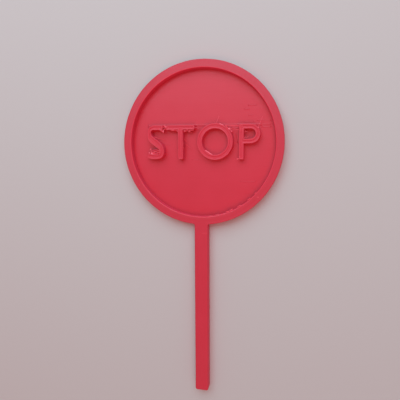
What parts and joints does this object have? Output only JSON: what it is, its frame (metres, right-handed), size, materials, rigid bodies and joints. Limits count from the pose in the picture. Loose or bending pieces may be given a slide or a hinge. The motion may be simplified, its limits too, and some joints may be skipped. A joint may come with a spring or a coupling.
{
  "type": "round hand-held stop paddle",
  "caption": "Round hand-held traffic paddle: a disc with a raised rim round a recessed face, on a straight flat bar handle, in red plastic.",
  "frame": {"origin": "centre of the disc, on its flat back", "axes": "+Z out of the face, as the paddle lies on its back; +Y up the face, so the handle runs along -Y; +X to the right of someone who reads the face"},
  "size_m": [0.1, 0.21, 0.006],
  "materials": {
    "red_plastic": "printed in layers, satin"
  },
  "bodies": {
    "root": {"paddle": "red_plastic"}
  },
  "joints": []
}
